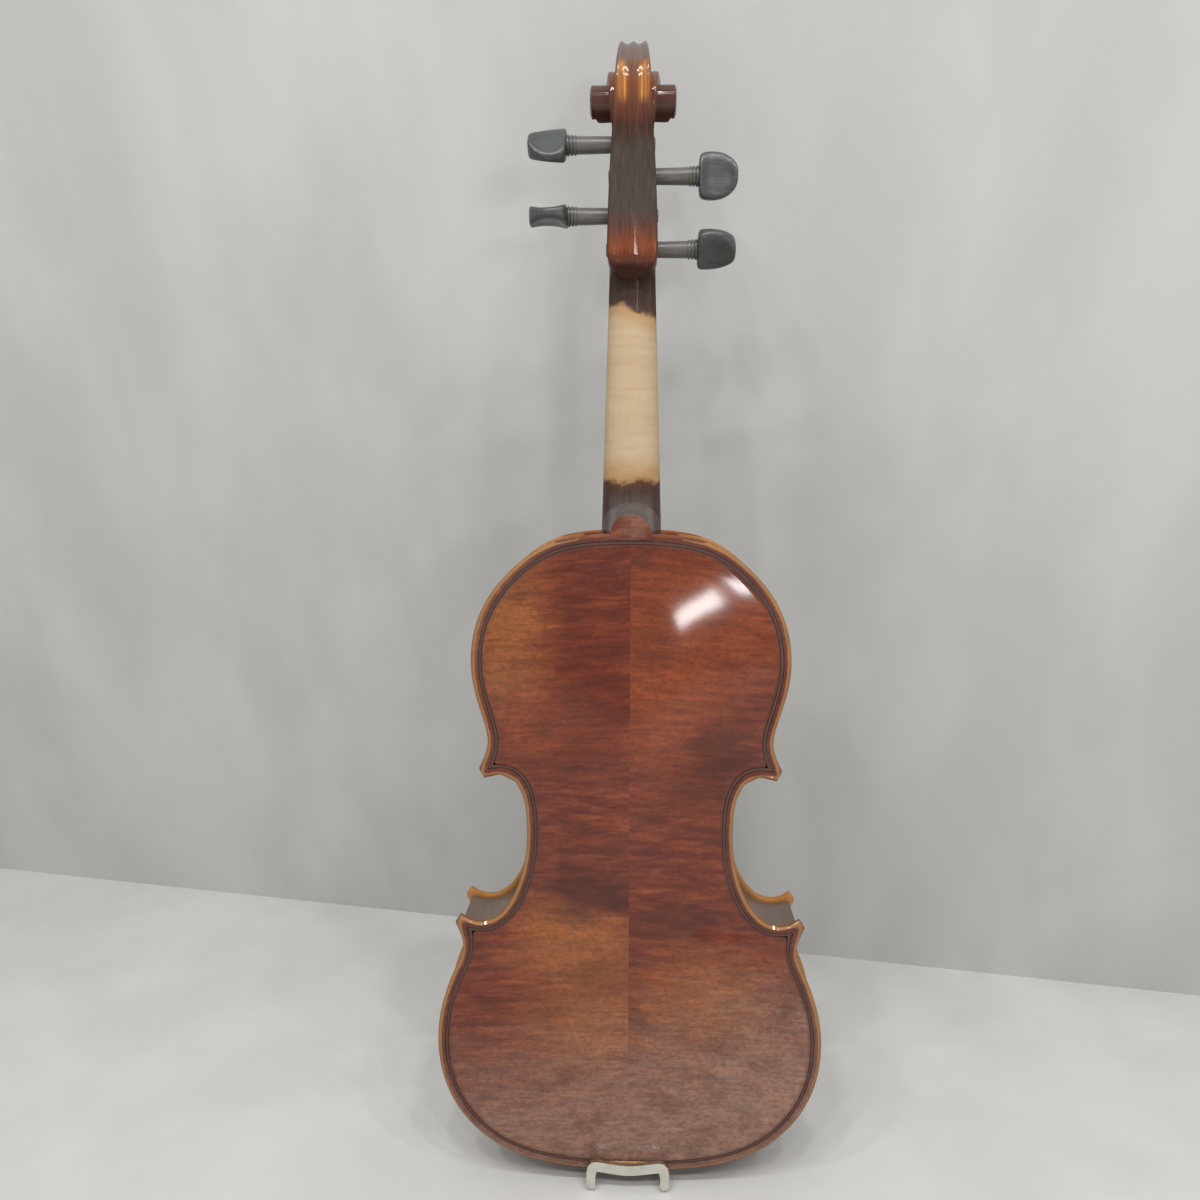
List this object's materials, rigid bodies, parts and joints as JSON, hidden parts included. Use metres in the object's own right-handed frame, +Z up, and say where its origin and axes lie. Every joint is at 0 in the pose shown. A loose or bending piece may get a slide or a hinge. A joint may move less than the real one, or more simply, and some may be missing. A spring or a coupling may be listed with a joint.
{
  "type": "electric violin",
  "caption": "Electro-acoustic violin with an arched two-piece back, turning pegs, fine tuners, a clamped chin rest and an output socket in its ribs.",
  "frame": {"origin": "middle of the end button's outer face, the lowest point of the violin as it stands upright", "axes": "+Z up the body and neck to the scroll; -Y out of the back, towards the picture's viewer; +X to the low string side"},
  "size_m": [0.21, 0.0946, 0.6079],
  "materials": {
    "varnished_maple": "red-brown varnish on flamed maple",
    "varnished_spruce": "red-brown varnish on spruce",
    "dyed_wood": "dark dyed inlay",
    "bare_wood": "bare",
    "bare_spruce": "bare",
    "ebony": "oiled ebony",
    "steel": "flat-wound steel",
    "nickel": "nickel plating",
    "nylon": "black nylon",
    "cork": "bare cork",
    "brass": "bare brass with a ceramic face",
    "black_plastic": "black moulding"
  },
  "bodies": {
    "violin": {"back_bass": "varnished_maple", "back_treble": "varnished_maple", "top_bass": "varnished_spruce", "top_treble": "varnished_spruce", "purfling_back": "dyed_wood", "purfling_top_bass": "dyed_wood", "purfling_top_treble": "dyed_wood", "rib_lower_bass": "varnished_maple", "rib_middle_bass": "varnished_maple", "rib_upper_bass": "varnished_maple", "rib_lower_treble": "varnished_maple", "rib_middle_treble": "varnished_maple", "rib_upper_treble": "varnished_maple", "neck_block": "bare_wood", "end_block": "bare_wood", "block_lower_bass": "bare_wood", "block_upper_bass": "bare_wood", "block_lower_treble": "bare_wood", "block_upper_treble": "bare_wood", "bass_bar": "bare_spruce", "sound_post": "bare_spruce", "neck": "varnished_maple", "fingerboard": "ebony", "nut": "ebony", "string_g": "steel", "string_d": "steel", "string_a": "steel", "string_e": "steel", "saddle": "ebony", "bridge": "bare_wood", "tailpiece": "ebony", "end_button": "ebony", "tail_gut": "nylon", "chin_rest": "ebony", "chin_rest_cork_bass": "cork", "chin_rest_cork_treble": "cork", "clamp_bracket": "nickel", "pickup_disc": "brass", "socket_barrel": "black_plastic", "socket_nut": "nickel"},
    "peg_g": {"peg_g": "ebony"},
    "peg_d": {"peg_d": "ebony"},
    "peg_a": {"peg_a": "ebony"},
    "peg_e": {"peg_e": "ebony"},
    "tuner_g_screw": {"tuner_g_screw": "nickel"},
    "tuner_g_knob": {"tuner_g_knob": "nickel"},
    "tuner_g_lever": {"tuner_g_lever": "nickel"},
    "tuner_d_screw": {"tuner_d_screw": "nickel"},
    "tuner_d_knob": {"tuner_d_knob": "nickel"},
    "tuner_d_lever": {"tuner_d_lever": "nickel"},
    "tuner_a_screw": {"tuner_a_screw": "nickel"},
    "tuner_a_knob": {"tuner_a_knob": "nickel"},
    "tuner_a_lever": {"tuner_a_lever": "nickel"},
    "tuner_e_screw": {"tuner_e_screw": "nickel"},
    "tuner_e_knob": {"tuner_e_knob": "nickel"},
    "tuner_e_lever": {"tuner_e_lever": "nickel"},
    "clamp_barrel_bass": {"clamp_barrel_bass": "nickel"},
    "clamp_barrel_treble": {"clamp_barrel_treble": "nickel"},
    "clamp_foot": {"clamp_foot": "nickel", "clamp_foot_cork": "cork"}
  },
  "joints": [
    {"name": "peg_g_turn", "type": "hinge", "parent": "violin", "child": "peg_g", "pos_m": [0, -0.0011, 0.5083], "axis": [1, 0, 0], "continuous": true},
    {"name": "peg_d_turn", "type": "hinge", "parent": "violin", "child": "peg_d", "pos_m": [0, -0.0061, 0.5424], "axis": [1, 0, 0], "continuous": true},
    {"name": "peg_a_turn", "type": "hinge", "parent": "violin", "child": "peg_a", "pos_m": [0, -0.0083, 0.5569], "axis": [-1, 0, 0], "continuous": true},
    {"name": "peg_e_turn", "type": "hinge", "parent": "violin", "child": "peg_e", "pos_m": [0, -0.0033, 0.5243], "axis": [-1, 0, 0], "continuous": true},
    {"name": "tuner_g_feed", "type": "slide", "parent": "violin", "child": "tuner_g_screw", "axis": [0, -0.985, 0.1726], "range_m": [0, 0.001]},
    {"name": "tuner_g_turn", "type": "hinge", "parent": "tuner_g_screw", "child": "tuner_g_knob", "pos_m": [0.0163, 0.04384, 0.10263], "axis": [0, -0.985, 0.1726], "range_deg": [0, 725]},
    {"name": "tuner_g_tilt", "type": "hinge", "parent": "violin", "child": "tuner_g_lever", "pos_m": [0.0163, 0.04246, 0.1115], "axis": [-1, 0, 0], "range_deg": [0, 6.8]},
    {"name": "tuner_d_feed", "type": "slide", "parent": "violin", "child": "tuner_d_screw", "axis": [0, -0.985, 0.1726], "range_m": [0, 0.001]},
    {"name": "tuner_d_turn", "type": "hinge", "parent": "tuner_d_screw", "child": "tuner_d_knob", "pos_m": [0.00543, 0.04384, 0.10263], "axis": [0, -0.985, 0.1726], "range_deg": [0, 725]},
    {"name": "tuner_d_tilt", "type": "hinge", "parent": "violin", "child": "tuner_d_lever", "pos_m": [0.00543, 0.04246, 0.1115], "axis": [-1, 0, 0], "range_deg": [0, 6.8]},
    {"name": "tuner_a_feed", "type": "slide", "parent": "violin", "child": "tuner_a_screw", "axis": [0, -0.985, 0.1726], "range_m": [0, 0.001]},
    {"name": "tuner_a_turn", "type": "hinge", "parent": "tuner_a_screw", "child": "tuner_a_knob", "pos_m": [-0.00543, 0.04384, 0.10263], "axis": [0, -0.985, 0.1726], "range_deg": [0, 725]},
    {"name": "tuner_a_tilt", "type": "hinge", "parent": "violin", "child": "tuner_a_lever", "pos_m": [-0.00543, 0.04246, 0.1115], "axis": [-1, 0, 0], "range_deg": [0, 6.8]},
    {"name": "tuner_e_feed", "type": "slide", "parent": "violin", "child": "tuner_e_screw", "axis": [0, -0.985, 0.1726], "range_m": [0, 0.001]},
    {"name": "tuner_e_turn", "type": "hinge", "parent": "tuner_e_screw", "child": "tuner_e_knob", "pos_m": [-0.0163, 0.04384, 0.10263], "axis": [0, -0.985, 0.1726], "range_deg": [0, 725]},
    {"name": "tuner_e_tilt", "type": "hinge", "parent": "violin", "child": "tuner_e_lever", "pos_m": [-0.0163, 0.04246, 0.1115], "axis": [-1, 0, 0], "range_deg": [0, 6.8]},
    {"name": "clamp_bass_turn", "type": "hinge", "parent": "violin", "child": "clamp_barrel_bass", "pos_m": [0.02, 0.0025, 0.0041], "axis": [0, -1, 0], "range_deg": [0, 1085]},
    {"name": "clamp_treble_turn", "type": "hinge", "parent": "violin", "child": "clamp_barrel_treble", "pos_m": [-0.02, 0.0025, 0.0041], "axis": [0, -1, 0], "range_deg": [0, 1085]},
    {"name": "clamp_release", "type": "slide", "parent": "violin", "child": "clamp_foot", "axis": [0, -1, 0], "range_m": [0, 0.0039]}
  ],
  "couplings": [
    {"joint": "tuner_g_turn", "follows": "tuner_g_feed", "rad_per_m": 12566},
    {"joint": "tuner_g_tilt", "follows": "tuner_g_feed", "rad_per_m": 117.11},
    {"joint": "tuner_d_turn", "follows": "tuner_d_feed", "rad_per_m": 12566},
    {"joint": "tuner_d_tilt", "follows": "tuner_d_feed", "rad_per_m": 117.11},
    {"joint": "tuner_a_turn", "follows": "tuner_a_feed", "rad_per_m": 12566},
    {"joint": "tuner_a_tilt", "follows": "tuner_a_feed", "rad_per_m": 117.11},
    {"joint": "tuner_e_turn", "follows": "tuner_e_feed", "rad_per_m": 12566},
    {"joint": "tuner_e_tilt", "follows": "tuner_e_feed", "rad_per_m": 117.11},
    {"joint": "clamp_bass_turn", "follows": "clamp_release", "rad_per_m": 4833.2},
    {"joint": "clamp_treble_turn", "follows": "clamp_release", "rad_per_m": 4833.2}
  ]
}
